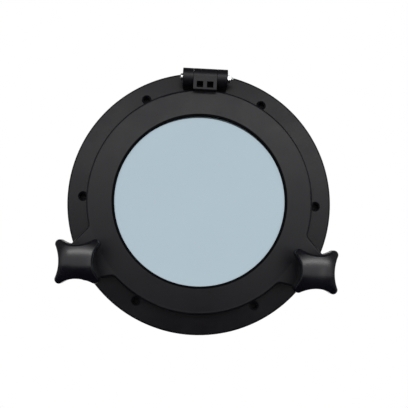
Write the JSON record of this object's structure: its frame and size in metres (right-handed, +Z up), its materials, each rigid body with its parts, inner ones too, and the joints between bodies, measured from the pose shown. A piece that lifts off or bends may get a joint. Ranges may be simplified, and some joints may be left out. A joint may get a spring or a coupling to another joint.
{
  "type": "round inspection hatch",
  "caption": "Round black moulded hatch: flange frame with a spigot for a wall cut-out, a glazed lid hinged at the top and lobed hand knobs that screw it shut.",
  "frame": {"origin": "on the hatch's axis, at the wall face of the flange", "axes": "+Y through the wall along the spigot, -Y into the room, +Z up towards the hinge, +X to the right as seen from the room"},
  "size_m": [0.215, 0.0766, 0.215],
  "materials": {
    "black_moulding": "satin moulded black nylon with a fine grain",
    "knob_moulding": "smoother satin moulded black nylon",
    "seal_rubber": "matt black rubber",
    "pane_glass": "clear glass with a pale blue-grey tint",
    "stainless": "bright stainless steel",
    "insert_brass": "turned brass"
  },
  "bodies": {
    "frame": {"frame": "black_moulding", "flange_gasket": "seal_rubber", "hinge_bolt": "stainless", "hinge_nut": "stainless", "left_insert": "insert_brass", "right_insert": "insert_brass"},
    "lid": {"lid": "black_moulding", "lid_seal": "seal_rubber", "glass_pane": "pane_glass", "glazing_seal": "seal_rubber", "retaining_ring": "black_moulding", "retaining_screws": "stainless"},
    "left_thrust": {"left_washer": "stainless"},
    "left_knob": {"left_knob": "knob_moulding", "left_stud": "stainless", "left_clip": "stainless"},
    "right_thrust": {"right_washer": "stainless"},
    "right_knob": {"right_knob": "knob_moulding", "right_stud": "stainless", "right_clip": "stainless"}
  },
  "joints": [
    {"name": "lid_hinge", "type": "hinge", "parent": "frame", "child": "lid", "pos_m": [0, -0.015, 0.0997], "axis": [-1, 0, 0], "range_deg": [0, 165]},
    {"name": "left_knob_travel", "type": "slide", "parent": "lid", "child": "left_thrust", "axis": [0, -1, 0], "range_m": [-0.0045, 0]},
    {"name": "left_knob_turn", "type": "hinge", "parent": "left_thrust", "child": "left_knob", "pos_m": [-0.08938, -0.03, -0.05139], "axis": [0, -1, 0], "range_deg": [-1620, 0]},
    {"name": "right_knob_travel", "type": "slide", "parent": "lid", "child": "right_thrust", "axis": [0, -1, 0], "range_m": [-0.0045, 0]},
    {"name": "right_knob_turn", "type": "hinge", "parent": "right_thrust", "child": "right_knob", "pos_m": [0.08938, -0.03, -0.05139], "axis": [0, -1, 0], "range_deg": [-1620, 0]}
  ],
  "couplings": [
    {"joint": "left_knob_travel", "follows": "left_knob_turn", "m_per_rad": 0.00015915},
    {"joint": "right_knob_travel", "follows": "right_knob_turn", "m_per_rad": 0.00015915}
  ]
}
